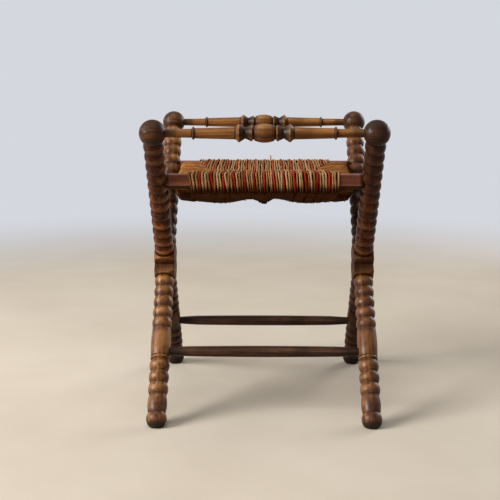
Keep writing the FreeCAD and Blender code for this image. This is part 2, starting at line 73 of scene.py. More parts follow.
class Shader:
    """A node material under construction. Values are numbers, colours or other nodes' outputs."""

    def __init__(self, name):
        self.material = bpy.data.materials.new(name)
        self.material.use_nodes = True
        self.tree = self.material.node_tree
        self.tree.nodes.clear()
        self.surface = self.tree.nodes.new("ShaderNodeBsdfPrincipled")
        self.output = self.tree.nodes.new("ShaderNodeOutputMaterial")
        self.tree.links.new(self.surface.outputs["BSDF"], self.output.inputs["Surface"])

    def set(self, socket, value):
        if isinstance(value, bpy.types.NodeSocket):
            self.tree.links.new(value, socket)
        else:
            socket.default_value = value

    def node(self, kind, inputs=(), output=0, **settings):
        """Adds a node, sets its settings and its inputs by name or place, and gives one output."""
        node = self.tree.nodes.new("ShaderNode" + kind)
        for key, value in settings.items():
            setattr(node, key, value)
        for key, value in dict(inputs).items():
            self.set(node.inputs[key], value)
        return node.outputs[output]

    def place(self, location=(0, 0, 0), turn=0.0, stretch=(1, 1, 1)):
        """Place on the object in a piece's own directions: from its middle, turned about x, then
        stretched."""
        here = self.node("TexCoord", output="Object")
        local = self.node("Mapping", {"Vector": here, "Location": location, "Rotation": (turn, 0, 0)},
                          vector_type="TEXTURE")
        return self.node("Mapping", {"Vector": local, "Scale": stretch})

    def along(self, vector, axis):
        """One of the three numbers of a place."""
        return self.node("SeparateXYZ", {0: vector}, output=axis)

    def length(self, vector):
        return self.node("VectorMath", {0: vector}, output="Value", operation="LENGTH")

    def away(self, vector, axis):
        """Distance of a place from the piece's own axis."""
        keep = [1.0, 1.0, 1.0]
        keep[axis] = 0.0
        return self.length(self.node("VectorMath", {0: vector, 1: keep}, operation="MULTIPLY"))

    def noise(self, vector, scale, detail=4.0, roughness=0.55, distortion=0.0):
        return self.node("TexNoise", {"Vector": vector, "Scale": scale, "Detail": detail,
                                      "Roughness": roughness, "Distortion": distortion})

    def fit(self, value, low, high, to_low=0.0, to_high=1.0):
        """A smooth step from to_low at low to to_high at high."""
        return self.node("MapRange", {"Value": value, "From Min": low, "From Max": high,
                                      "To Min": to_low, "To Max": to_high},
                         interpolation_type="SMOOTHSTEP")

    def math(self, operation, first, second=0.0):
        return self.node("Math", {0: first, 1: second}, operation=operation)

    def times(self, first, second):
        return self.math("MULTIPLY", first, second)

    def plus(self, first, second):
        return self.math("ADD", first, second)

    def weighed(self, first, first_share, second, second_share):
        """The sum of two values, each multiplied by its share."""
        return self.plus(self.times(first, first_share), self.times(second, second_share))

    def mix(self, factor, first, second):
        return self.node("Mix", {MIX_FACTOR: factor, MIX_FIRST: first, MIX_SECOND: second},
                         output=MIX_RESULT, data_type="RGBA")

    def ramp(self, factor, stops):
        node = self.tree.nodes.new("ShaderNodeValToRGB")
        elements = node.color_ramp.elements
        while len(elements) < len(stops):
            elements.new(1.0)
        for element, (place, colour) in zip(elements, stops):
            element.position = place
            element.color = colour
        self.set(node.inputs[0], factor)
        return node.outputs[0]

    def bump(self, height, strength, distance, under=None):
        inputs = {"Height": height, "Strength": strength, "Distance": distance}
        if under is not None:
            inputs["Normal"] = under
        return self.node("Bump", inputs)

    def finish(self, **inputs):
        for name, value in inputs.items():
            self.set(self.surface.inputs[name.replace("_", " ")], value)
        return self.material


def box_middle(name):
    low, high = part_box(name)
    return [(a + b) / 2 for a, b in zip(low, high)]


# The legs' stance, read from the frame.
ball_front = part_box("leg_left_front")
FRAME_X = abs(box_middle("leg_left_front")[X])
BALL_RADIUS = 0.023
FOOT_RADIUS = 0.01825
FOOT_REST = 0.0125
TOP_REACH = -ball_front[0][Y] - BALL_RADIUS
FOOT_REACH = ball_front[1][Y] - FOOT_RADIUS
BALL_HEIGHT = ball_front[1][Z] - BALL_RADIUS
LEAN = math.atan2(TOP_REACH + FOOT_REACH, BALL_HEIGHT - FOOT_REST)
CROSS_HEIGHT = FOOT_REST + (BALL_HEIGHT - FOOT_REST) * FOOT_REACH / (TOP_REACH + FOOT_REACH)
UPPER_LENGTH = (BALL_HEIGHT - CROSS_HEIGHT) / math.cos(LEAN)

# Colours of a leg, given on screen. The graded ones have a place in the grain for each colour.
VARNISH = ((0.32, (40, 18, 7)), (0.5, (84, 42, 18)), (0.68, (142, 86, 42)))
# Painted light: the lighter wood of the back-ball legs' halves that face up to the lamps.
PAINTED_LIGHT_WOOD = ((0.32, (68, 37, 15)), (0.5, (120, 77, 36)), (0.68, (168, 119, 64)))
TURNED_BALL = ((0.3, (30, 15, 8)), (0.5, (62, 36, 19)), (0.72, (108, 68, 40)))
RING_STAIN = (58, 29, 12)
BLOTCH_STAIN = (46, 22, 9)
CREST_WEAR_AND_HIGHLIGHT = (184, 130, 80)
GROOVE_DIRT_AND_SHADE = (30, 14, 6)
HAND_STAIN = (44, 21, 10)
# Painted shade, under the seat and on the leg halves that stand at the back.
PAINTED_SHADE = (36, 18, 8)
BLOCK_STAIN_AND_SHADOW = (52, 25, 12)
FOOT_DIRT = (30, 19, 13)

# Where a leg's finish and its painted light and shade change, from none to full. Radii are out from the
# leg's axis, lengths are along it from the crossing, upwards, and heights are above the floor or, for the
# joint's painted shadow, from the crossing.
CREST_RADII = (0.0172, 0.0183)
GROOVE_RADII = (0.0168, 0.0150)
# Painted light on the halves above and below the crossing, from none to full.
PAINTED_LIGHT_UPPER_LENGTHS = (0.16, 0.23)
PAINTED_LIGHT_LOWER_LENGTHS = (0.05, -0.05)
HANDLED_LENGTHS = (0.14, 0.31)
# Painted shade under the seat on the back-ball legs' upper halves, from its start to its end.
UNDER_SEAT_SHADE_START_LENGTHS = (0.03, 0.07)
UNDER_SEAT_SHADE_END_LENGTHS = (0.22, 0.16)
# Painted shade on the lower halves that stand at the back, from none to full.
REAR_SHADE_LENGTHS = (-0.02, -0.12)
POLISHED_LENGTHS = (-0.035, -0.055)
BLOCK_LENGTHS = (0.038, 0.030)
BALL_LENGTHS = (UPPER_LENGTH - 0.022, UPPER_LENGTH - 0.016)
JOINT_SHADOW_HEIGHTS = (0.015, 0.003)
FOOT_HEIGHTS = (0.02, 0.004)
FOOT_UNEVEN = 0.005

# How far the grain and ring patterns are squeezed along each direction.
LEG_GRAIN = (90, 90, 5)
LEG_RINGS = (3, 3, 60)
BALL_RINGS = (9, 60, 130)
BALL_RING_TURN = 0.35
RAIL_GRAIN = (5, 95, 95)
PACKING_GRAIN = (60, 160, 220)
# The span that most values of a noise pattern lie in.
NOISE_SPAN = (0.3, 0.7)
# How deep the grain, the fine pores and the straw are, and how far the woods mirror.
GRAIN_DEPTH, PORE_DEPTH, STRAW_DEPTH, PACKING_DEPTH = 0.0006, 0.0008, 0.0012, 0.002
LEG_SHINE, LOWER_HALF_SHINE, RAIL_SHINE = 0.15, 0.12, 0.13
# A worn arris with a painted highlight and the bevel under it with painted shade, from none to full, by
# height from the arris.
ARRIS_HEIGHTS = (0.0014, 0.0004)
BEVEL_HEIGHTS = (0.0, -0.0012)


def leg_wood(name, side, end, tone, crest_tone, ball_tone, painted_light_upper, painted_light_lower):
    """Old varnished turning: grain along the leg, dirt and painted shade in the grooves, worn crests with
    painted highlights, dark ball and foot, and painted light and shade on the halves, under the seat and
    at the joint.
    The tones tint the leg, its crests and its ball, and the last two are how much painted light the halves
    above and below the crossing get."""
    def shade(colour):
        return tinted(colour, tone)

    def graded(stops, shares):
        return [(place, tinted(colour, shares)) for place, colour in stops]

    s = Shader(name)
    middle, turn = (FRAME_X * side, 0, CROSS_HEIGHT), -LEAN * end
    local = s.place(middle, turn)
    length = s.along(local, Z)
    radius = s.away(local, Z)
    height = s.along(s.place(), Z)
    streaks = s.noise(s.place(middle, turn, LEG_GRAIN), 1.6, detail=6.0, roughness=0.6, distortion=0.6)
    blotches = s.noise(local, 24.0, roughness=0.6)

    varnished = s.ramp(streaks, graded(VARNISH, tone))
    lit_wood = s.ramp(streaks, graded(PAINTED_LIGHT_WOOD, tone))
    # Painted light: the back-ball legs' halves turn to the lighter wood.
    painted_light = s.plus(s.fit(length, *PAINTED_LIGHT_UPPER_LENGTHS, to_high=painted_light_upper),
                      s.fit(length, *PAINTED_LIGHT_LOWER_LENGTHS, to_high=painted_light_lower))
    colour = s.mix(painted_light, varnished, lit_wood)
    ring_tone = s.noise(s.place(middle, turn, LEG_RINGS), 1.0, detail=2.0)
    colour = s.mix(s.fit(ring_tone, 0.42, 0.66, to_high=0.55), colour, shade(RING_STAIN))
    colour = s.mix(s.fit(blotches, 0.47, 0.7, to_high=0.6), colour, shade(BLOTCH_STAIN))
    # Worn crests, lightened further as painted highlights by the crest tone.
    worn_and_highlit = s.times(s.fit(radius, *CREST_RADII), s.fit(blotches, 0.6, 0.35, to_high=0.5))
    colour = s.mix(worn_and_highlit, colour, tinted(CREST_WEAR_AND_HIGHLIGHT, [crest_tone] * 3))
    # Dirt and painted shade in the grooves.
    groove = s.fit(radius, *GROOVE_RADII)
    dirt_and_shade = s.fit(s.noise(local, 55.0), *NOISE_SPAN, 0.45, 0.9)
    colour = s.mix(s.times(groove, dirt_and_shade), colour, shade(GROOVE_DIRT_AND_SHADE))

    handled = s.fit(length, *HANDLED_LENGTHS, to_high=0.6 - painted_light_upper * 0.6)
    colour = s.mix(handled, colour, shade(HAND_STAIN))
    # Painted shade under the seat, on the upper halves of the back-ball legs.
    under_seat_shade = s.times(s.fit(length, *UNDER_SEAT_SHADE_START_LENGTHS),
                        s.fit(length, *UNDER_SEAT_SHADE_END_LENGTHS, to_high=painted_light_upper * 0.85))
    colour = s.mix(under_seat_shade, colour, shade(PAINTED_SHADE))
    # Painted shade on the front-ball legs' lower halves, which stand at the back of the stool.
    darkened = s.fit(length, *REAR_SHADE_LENGTHS, to_high=0.7 - painted_light_lower * 0.75)
    colour = s.mix(darkened, colour, shade(PAINTED_SHADE))

    # The blocks are stained darker, and near the crossing painted shadow of the overlapping block darkens
    # them more.
    block = s.fit(s.math("ABSOLUTE", length), *BLOCK_LENGTHS)
    from_joint = s.math("ABSOLUTE", s.math("SUBTRACT", height, CROSS_HEIGHT))
    joint_shadow = s.fit(from_joint, *JOINT_SHADOW_HEIGHTS, 0.35, 0.8)
    colour = s.mix(s.times(block, joint_shadow), colour, shade(BLOCK_STAIN_AND_SHADOW))
    ball = s.fit(length, *BALL_LENGTHS)
    ball_place = s.place((0, 0, BALL_HEIGHT), BALL_RING_TURN * side, BALL_RINGS)
    ball_rings = s.noise(ball_place, 1.0, detail=5.0, roughness=0.65, distortion=1.2)
    turned = s.ramp(ball_rings, graded(TURNED_BALL, [ball_tone] * 3))
    colour = s.mix(s.times(ball, 0.9), colour, turned)
    ragged = s.plus(height, s.fit(blotches, *NOISE_SPAN, -FOOT_UNEVEN, FOOT_UNEVEN))
    colour = s.mix(s.times(s.fit(ragged, *FOOT_HEIGHTS), 0.85), colour, srgb(*FOOT_DIRT))

    rough = s.fit(s.noise(local, 120.0, detail=3.0), *NOISE_SPAN, 0.28, 0.46)
    rough = s.plus(rough, s.times(s.math("MAXIMUM", groove, block), 0.25))
    normal = s.bump(streaks, 0.25, GRAIN_DEPTH)
    normal = s.bump(s.noise(local, 240.0, detail=3.0), 0.12, PORE_DEPTH, normal)
    shine = s.fit(length, *POLISHED_LENGTHS, LEG_SHINE, LEG_SHINE + LOWER_HALF_SHINE * painted_light_lower)
    return s.finish(Base_Color=colour, Roughness=rough, Normal=normal, Specular_IOR_Level=shine)


def rail_wood(name, middle, dark, mid, light, dirt_and_shade, bands, rough=(0.3, 0.5), arris=None):
    """Wood with its grain along x. Bands are (start, end, softness, amount) of dirt and painted shade by
    distance from the middle, and arris is the height of a worn edge, lightened as a painted highlight,
    with painted shade on the bevel under it."""
    s = Shader(name)
    local = s.place(middle)
    streaks = s.noise(s.place(middle, stretch=RAIL_GRAIN), 1.5, detail=6.0, roughness=0.62,
                      distortion=0.5)
    wood = s.ramp(streaks, [(0.3, dark), (0.52, mid), (0.74, light)])
    wood = s.mix(s.fit(s.noise(local, 22.0, detail=3.0), 0.45, 0.7, to_high=0.5), wood, dark)
    reach = s.math("ABSOLUTE", s.along(local, X))
    for start, end, soft, amount in bands:
        inside = s.times(s.fit(reach, start - soft, start), s.fit(reach, end + soft, end))
        wood = s.mix(s.times(inside, amount), wood, dirt_and_shade)
    if arris is not None:
        # Painted shade on the bevel under the arris, and a painted highlight on the worn arris.
        above = s.math("SUBTRACT", s.along(local, Z), arris)
        wood = s.mix(s.fit(above, *BEVEL_HEIGHTS, to_high=0.85), wood, dirt_and_shade)
        worn_and_highlit = s.fit(s.math("ABSOLUTE", above), *ARRIS_HEIGHTS, to_high=0.55)
        wood = s.mix(worn_and_highlit, wood, light)
    roughness = s.fit(s.noise(local, 110.0, detail=3.0), *NOISE_SPAN, *rough)
    normal = s.bump(streaks, 0.3, GRAIN_DEPTH)
    normal = s.bump(s.noise(local, 220.0, detail=3.0), 0.12, PORE_DEPTH, normal)
    return s.finish(Base_Color=wood, Roughness=roughness, Normal=normal, Specular_IOR_Level=RAIL_SHINE)


# How fast the straw's fibres change along and round a strand, and how they and its two plies wind.
FIBRE_RUN = 14.0
FIBRE_TURN = 9.0
FIBRE_TWIST = 160.0
PLIES = 2.0
PLY_TWIST = 48.0
# Where the top is bleached, by height and by distance to the front and back.
FADED_HEIGHTS = (0.424, 0.432)
FADED_REACH = (0.130, 0.122)
RIM_FADING = 0.3
# How unevenly the straw darkens towards the bottom.
DARKENING_UNEVEN = 0.003
# Where the packing turns from painted shade in the gaps to a matted skin.
MATTED_HEIGHTS = (0.414, 0.402)


def straw(name, dark, mid, light, faded, bottom_colour, fading, undarkened, darkened):
    """Dry twisted straw: fibres that wind along the strand, each strand a little different. Fading is
    how far the top has bleached, and the straw darkens towards the bottom, from the height undarkened down
    to the height darkened."""
    s = Shader(name)
    uv = s.node("UVMap", uv_map="strand_uv")
    run, turn = s.along(uv, X), s.along(uv, Y)
    wound = s.node("CombineXYZ", {X: s.times(run, FIBRE_RUN),
                                  Y: s.weighed(turn, FIBRE_TURN, run, FIBRE_TWIST),
                                  Z: s.node("Attribute", output="Fac", attribute_name="strand")})
    fibre = s.noise(wound, 1.0, roughness=0.6)
    lay = s.math("SINE", s.times(s.weighed(turn, PLIES, run, PLY_TWIST), 2 * math.pi))
    tint = s.node("Attribute", output="Fac", attribute_name="tint")
    colour = s.ramp(s.weighed(fibre, 0.5, tint, 0.5), [(0.3, dark), (0.5, mid), (0.7, light)])
    # Painted shade in the valleys between the two plies.
    colour = s.mix(s.fit(lay, -1.0, -0.1, 0.5, 0.0), colour, dark)
    here = s.place()
    height = s.along(here, Z)
    reach = s.math("ABSOLUTE", s.along(here, Y))
    top = s.times(s.fit(height, *FADED_HEIGHTS),
                  s.fit(reach, *FADED_REACH, RIM_FADING * fading, fading))
    colour = s.mix(top, colour, faded)
    # Darker towards the bottom, with a ragged edge.
    patches = s.noise(here, 30.0, detail=3.0)
    ragged = s.plus(height, s.fit(patches, *NOISE_SPAN, -DARKENING_UNEVEN, DARKENING_UNEVEN))
    colour = s.mix(s.times(s.fit(ragged, undarkened, darkened), 0.95), colour, bottom_colour)
    return s.finish(Base_Color=colour, Roughness=s.fit(fibre, *NOISE_SPAN, 0.5, 0.75),
                    Normal=s.bump(s.weighed(fibre, 0.5, lay, 0.35), 0.55, STRAW_DEPTH),
                    Specular_IOR_Level=0.0)


def packing_straw(name):
    """The stuffing behind the strands: painted shade in the gaps between them, a matted brown skin below.
    """
    s = Shader(name)
    fibre = s.noise(s.place(stretch=PACKING_GRAIN), 1.0, detail=5.0)
    gap_shade = s.ramp(fibre, [(0.3, srgb(20, 10, 5)), (0.7, srgb(46, 25, 12))])
    matted = s.ramp(fibre, [(0.3, srgb(64, 42, 30)), (0.7, srgb(110, 76, 55))])
    colour = s.mix(s.fit(s.along(s.place(), Z), *MATTED_HEIGHTS), gap_shade, matted)
    return s.finish(Base_Color=colour, Roughness=0.9, Normal=s.bump(fibre, 0.6, PACKING_DEPTH),
                    Specular_IOR_Level=0.0)


def dress(name, material):
    """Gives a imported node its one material."""
    nodes[name].data.materials.clear()
    nodes[name].data.materials.append(material)


# Each leg with its side, its end, its tones (leg, worn crests, ball) and how much painted light its two
# halves get. The right legs' darker tones and balls are painted shade, and the left legs' brighter
# crests are painted highlights.
LEGS = (
    ("left_front", -1, -1, (0.98, 0.87, 0.74), 1.2, 0.97, 0.0, 0.0),
    ("left_back", -1, 1, (1.02, 1.0, 0.96), 1.08, 0.97, 0.8, 0.9),
    ("right_front", 1, -1, (0.87, 0.74, 0.61), 0.75, 0.72, 0.0, 0.0),
    ("right_back", 1, 1, (0.87, 0.80, 0.73), 0.85, 0.9, 0.8, 0.9),
)
for leg, *looks in LEGS:
    dress("leg_" + leg, leg_wood("leg_wood_" + leg, *looks))

# The rails' woods, dark to light, and the dirt on them by distance from the middle, with painted shade
# in the grooves and at the barrel's rounded edges.
HONEY = (srgb(76, 42, 17), srgb(144, 95, 48), srgb(190, 139, 80))
MAHOGANY = (srgb(86, 47, 33), srgb(131, 79, 57), srgb(160, 104, 76))
EBONY = (srgb(38, 21, 14), srgb(76, 50, 36), srgb(116, 82, 63))
HONEY_DIRT_AND_SHADE, MAHOGANY_DIRT_AND_SHADE, EBONY_DIRT = srgb(38, 20, 10), srgb(24, 13, 8), srgb(20, 11, 7)
# Darker barrel, waist and collars, with painted shade at the barrel's edges and in the grooves by the
# collars and ring.
BARREL_DIRT_AND_SHADE = [(-1.0, 0.0168, 0.0008, 0.25), (0.0142, 0.0168, 0.004, 0.5)]
COLLAR_DIRT_AND_SHADE = [(0.0168, 0.0192, 0.0008, 0.95), (0.0192, 0.0490, 0.001, 0.3),
               (0.0235, 0.0405, 0.002, 0.7), (0.0290, 0.0360, 0.003, 0.85), (0.0485, 0.0500, 0.0015, 0.8)]
RING_DIRT_AND_SHADE = [(0.1172, 0.1182, 0.0008, 0.8), (0.1182, 0.1218, 0.0008, 0.6), (0.1218, 0.1232, 0.0010, 0.85)]
TOP_RAIL_END_DIRT = [(0.154, 0.19, 0.012, 0.6)]
STRETCHER_END_DIRT = [(0.155, 0.19, 0.025, 0.6)]
SEAT_RAIL_END_DIRT = [(0.1685, 0.19, 0.002, 0.7)]
ARRIS_HEIGHT = -0.0058
STRETCHER_ROUGH, SEAT_RAIL_ROUGH = (0.3, 0.48), (0.45, 0.65)
for end_name in ("front", "back"):
    name = "top_rail_" + end_name
    dress(name, rail_wood(name + "_wood", box_middle(name), *HONEY, HONEY_DIRT_AND_SHADE,
                          BARREL_DIRT_AND_SHADE + COLLAR_DIRT_AND_SHADE + RING_DIRT_AND_SHADE + TOP_RAIL_END_DIRT))
    name = "stretcher_" + end_name
    dress(name, rail_wood(name + "_wood", box_middle(name), *EBONY, EBONY_DIRT,
                          STRETCHER_END_DIRT, STRETCHER_ROUGH))
for end_name, arris in (("front", ARRIS_HEIGHT), ("back", ARRIS_HEIGHT), ("left", None), ("right", None)):
    name = "seat_rail_" + end_name
    dress(name, rail_wood(name + "_wood", box_middle(name), *MAHOGANY, MAHOGANY_DIRT_AND_SHADE,
                          SEAT_RAIL_END_DIRT, SEAT_RAIL_ROUGH, arris))

# The straw seat's form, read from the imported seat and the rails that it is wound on.
rail_low, rail_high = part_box("seat_rail_front")
side_low, side_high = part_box("seat_rail_right")
seat_low, seat_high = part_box("rush_seat")
STRAW = seat_high[Z] - rail_high[Z]
REACH, TOP = seat_high[Y], seat_high[Z]
RAIL_SAG = 0.002
BOTTOM = rail_low[Z] - STRAW - RAIL_SAG
ROUNDING = 0.006
LEAST_ROUNDING = 0.002
SEAM_DIP = 0.009
PANEL_CROWN = 0.0025
BELLY_ROUNDING = 0.002
BELLY = BOTTOM - seat_low[Z] - BELLY_ROUNDING
BELLY_BLUNT = 0.12
BELLY_SWELL = 0.003
LOBE = 0.080
LOBE_RISE = 0.0112
OUTER_LOBE_SHARE = 0.5
KNOT_DROP = 0.0092
KNOT_LEFT, KNOT_RIGHT = 0.015, 0.0115
WRAP, SIDE_MIDDLE = side_low[X], (side_low[X] + side_high[X]) / 2
SIDE_OUTER = side_high[X] + STRAW
SIDE_SWELL = seat_high[X] - SIDE_OUTER
SWELL_REACH = 0.095
SIDE_TOP = side_high[Z] + STRAW
SIDE_BOTTOM = side_low[Z] - STRAW
SIDE_BELLY = 0.0385
SIDE_SPREAD = 0.006
SIDE_REACH = -rail_high[Y]
APEX = 0.092
PANEL_POINTS = 24


def belly_at(x):
    """Depth of the slack underside, with two lobes and a small droop where the strands are knotted."""
    rise = LOBE_RISE * math.cos(math.pi * x / (2 * LOBE)) ** 2
    if abs(x) > LOBE:
        rise *= OUTER_LOBE_SHARE
    width = KNOT_LEFT if x < 0 else KNOT_RIGHT
    return BELLY - rise + KNOT_DROP * math.exp(-(x / width) ** 2)


def sag(t):
    """Share of the full depth at t from the middle (0) to the rail (1): a slack curve, rounded below."""
    blunt = BELLY_BLUNT
    return 1 - (np.sqrt(t * t + blunt * blunt) - blunt) / (math.sqrt(1 + blunt * blunt) - blunt)


def bow(t):
    """A shallow curve from 0 over 1 in the middle to 0."""
    return 4 * t * (1 - t)


def hang_at(x, y):
    """Height of the seat's underside at a place."""
    return BOTTOM - belly_at(x) * sag(abs(y) / REACH)


def swell(start, finish, bulge, count):
    """Points on a shallow arc that stands off to the left of its chord."""
    start, finish = np.array(start), np.array(finish)
    chord = finish - start
    left = np.array([-chord[1], chord[0]]) / np.linalg.norm(chord)
    t = np.linspace(0, 1, count)[:, None]
    return start + chord * t + left * (bulge * bow(t))


def corner(middle, radius, first, last, count=6):
    """Points on an arc between two angles in degrees."""
    angle = np.radians(np.linspace(first, last, count))
    return np.stack([middle[0] + radius * np.cos(angle), middle[1] + radius * np.sin(angle)], axis=1)


def half_section(x, inset, start):
    """From the top, start metres in front of the middle, round the front rail and under to the middle,
    as (distance from the middle, height)."""
    reach, top, bottom = REACH - inset, TOP - inset, BOTTOM + inset
    rounding = max(ROUNDING - inset, LEAST_ROUNDING)
    edge = reach - rounding
    panel = swell((0, top - SEAM_DIP), (edge, top), PANEL_CROWN, PANEL_POINTS)
    panel = panel[panel[:, 0] >= start]
    upper = corner((edge, top - rounding), rounding, 90, 0)
    lower = corner((edge, bottom + rounding), rounding, 0, -90)
    t = np.linspace(1, 0, PANEL_POINTS)
    under = np.stack([edge * t, bottom - belly_at(x) * sag(t) - BELLY_SWELL * bow(t)], axis=1)
    return np.concatenate([panel, upper, lower, under])


def resample(points, step):
    """Evenly spaced points along a path, with its corners cut twice."""
    cut = 0.25
    for _ in range(2):
        first = points[:-1] * (1 - cut) + points[1:] * cut
        second = points[:-1] * cut + points[1:] * (1 - cut)
        between = np.stack([first, second], axis=1).reshape(-1, points.shape[1])
        points = np.concatenate([points[:1], between, points[-1:]])
    lengths = np.concatenate([[0], np.cumsum(np.linalg.norm(np.diff(points, axis=0), axis=1))])
    count = max(4, int(lengths[-1] / step))
    wanted = np.linspace(0, lengths[-1], count)
    return np.stack([np.interp(wanted, lengths, column) for column in points.T], axis=1)


def wander(count, size, length=9):
    """A smooth random wobble, with a new value about every length points."""
    knots = rng.normal(0, size, max(3, count // length + 2))
    return np.interp(np.linspace(0, len(knots) - 1, count), np.arange(len(knots)), knots)


def smooth_mesh(name, rows, faces, materials):
    """A smooth mesh through rows of points."""
    mesh = bpy.data.meshes.new(name)
    mesh.from_pydata(np.concatenate(rows).tolist(), [], faces)
    for material in materials:
        mesh.materials.append(material)
    mesh.polygons.foreach_set("use_smooth", np.ones(len(faces), dtype=bool))
    return mesh


class Strands:
    """Many tubes in one mesh, with their run and turn kept as a map for the material."""

    NUMBER_STEP = 1.37

    def __init__(self, sides=8):
        self.sides = sides
        self.rings = []
        self.faces = []
        self.maps = []
        self.slots = []
        self.numbers = []
        self.tints = []
        self.count = 0

    def add(self, path, radius, across, slot, tint):
        """One strand along a path. Across is a direction that is never along it, and tint runs from dark
        to light."""
        tangent = np.gradient(path, axis=0)
        tangent /= np.linalg.norm(tangent, axis=1)[:, None]
        first = np.array(across) - tangent * (tangent @ np.array(across))[:, None]
        first /= np.linalg.norm(first, axis=1)[:, None]
        second = np.cross(tangent, first)
        angles = np.linspace(0, 2 * math.pi, self.sides, endpoint=False)[None, :, None]
        spokes = np.cos(angles) * first[:, None, :] + np.sin(angles) * second[:, None, :]
        base = len(self.rings) * self.sides
        self.rings.extend(path[:, None, :] + radius[:, None, None] * spokes)
        run = np.concatenate([[0], np.cumsum(np.linalg.norm(np.diff(path, axis=0), axis=1))])
        for i in range(len(path) - 1):
            here, there = base + i * self.sides, base + (i + 1) * self.sides
            for j in range(self.sides):
                k = (j + 1) % self.sides
                self.faces.append((here + j, here + k, there + k, there + j))
                low, high = j / self.sides, (j + 1) / self.sides
                self.maps.extend(((run[i], low), (run[i], high), (run[i + 1], high), (run[i + 1], low)))
                self.slots.append(slot)
        amount = len(path) * self.sides
        self.numbers.extend([self.count * self.NUMBER_STEP] * amount)
        self.tints.extend([tint] * amount)
        self.count += 1

    def build(self, name, materials):
        mesh = smooth_mesh(name, self.rings, self.faces, materials)
        layer = mesh.uv_layers.new(name="strand_uv")
        layer.data.foreach_set("uv", np.array(self.maps, dtype=np.float32).ravel())
        for label, values in (("strand", self.numbers), ("tint", self.tints)):
            attribute = mesh.attributes.new(label, "FLOAT", "POINT")
            attribute.data.foreach_set("value", np.array(values, dtype=np.float32))
        mesh.polygons.foreach_set("material_index", np.array(self.slots, dtype=np.int32))
        mesh.update()
        return add_piece(name, mesh)


# Straw colours: dark, mid, light, faded and darkest, then the fading and the heights of the darkening
# towards the bottom.
FRONT_DARKENING = (0.427, 0.410)
SIDE_DARKENING = (0.412, 0.392)
NATURAL = straw("straw_natural", srgb(98, 56, 24), srgb(172, 124, 74), srgb(224, 190, 138),
                srgb(142, 106, 74), srgb(64, 38, 22), 0.7, *FRONT_DARKENING)
RED = straw("straw_red", srgb(84, 12, 7), srgb(154, 28, 19), srgb(190, 54, 37),
            srgb(132, 76, 56), srgb(66, 26, 16), 0.8, *FRONT_DARKENING)
TAN = straw("straw_tan", srgb(70, 37, 14), srgb(142, 94, 48), srgb(196, 148, 88),
            srgb(148, 108, 66), srgb(60, 37, 23), 0.3, *SIDE_DARKENING)
RUSSET = straw("straw_russet", srgb(66, 26, 12), srgb(136, 60, 29), srgb(172, 92, 50),
               srgb(126, 70, 42), srgb(58, 32, 19), 0.2, *SIDE_DARKENING)

# Both windings: how deep the strands' middles lie in the form, give or take, and how finely they are cut.
INSET = 0.0026
INSET_RANGE = (-0.0003, 0.0005)
STRAND_STEP = 0.0045
DYED_EVERY = 4

# The front and back winding: how strands crowd, start at the seam, dive and tuck in, and lean.
STRAND_COUNT = 55
CROWDING = 0.12
SEAM_START = 0.006
SEAM_CURVE = 1.25
DIVE = ((-0.0040, -0.011), (-0.0036, -0.006), (-0.0020, -0.0012))
TUCK = ((0.002, 0.0003), (-0.004, 0.002))
TUCKED_POINTS = 3
LEAN_ACROSS = 0.0030
LEAN_CHANGE = 0.0022
LEAN_RANGE = 0.0009
LEAN_PIVOT = 0.3
LEAN_START, LEAN_RUN = 0.06, 0.08
WOBBLE_ACROSS, WOBBLE_UP, WOBBLE_UNDER = 0.0008, 0.0003, 0.0005
THICKNESS, DYED_EXTRA = (0.68, 0.84), 0.14
UNEVEN, UNEVEN_LENGTH = 0.10, 4
LOOSENED = 0.3
TINTS, TINT_STEP = (0.25, 0.85), 0.15

# The side winding: its seam, shoulder, slack outer face and underside.
SIDE_STRAND_COUNT = 47
SIDE_FILL = 0.985
SIDE_SEAM_CURVE = 0.8
SIDE_DIVE = ((-0.003, -0.011), (-0.0026, -0.005), (0.0, 0.0))
SIDE_SEAM_DIP = 0.0072
WRAP_DIP = 0.0020
WRAP_CLEAR = 0.004
SHOULDER_DIP = 0.001
SHOULDER_RUN, SHOULDER_FALL = 0.007, 0.001
SHOULDER_ROUND, SHOULDER_ROUND_DROP = 0.005, 0.006
SLACK_SHARE, SLACK_RISE = 0.7, 0.004
UNDER_ROUND, UNDER_ROUND_RISE = 0.006, 0.007
UNDER_RUN, UNDER_RISE = 0.012, 0.004
SIDE_WOBBLE_ACROSS, SIDE_WOBBLE_UP = 0.0006, 0.0004
SIDE_THICKNESS = (0.74, 1.0)
SIDE_UNEVEN, SIDE_UNEVEN_LENGTH = 0.06, 5
SIDE_TINTS, SIDE_TINT_STEP = (0.0, 0.6), 0.4


def strand_slot(number):
    """One strand in four is dyed."""
    return 1 if number % DYED_EVERY == DYED_EVERY - 1 else 0


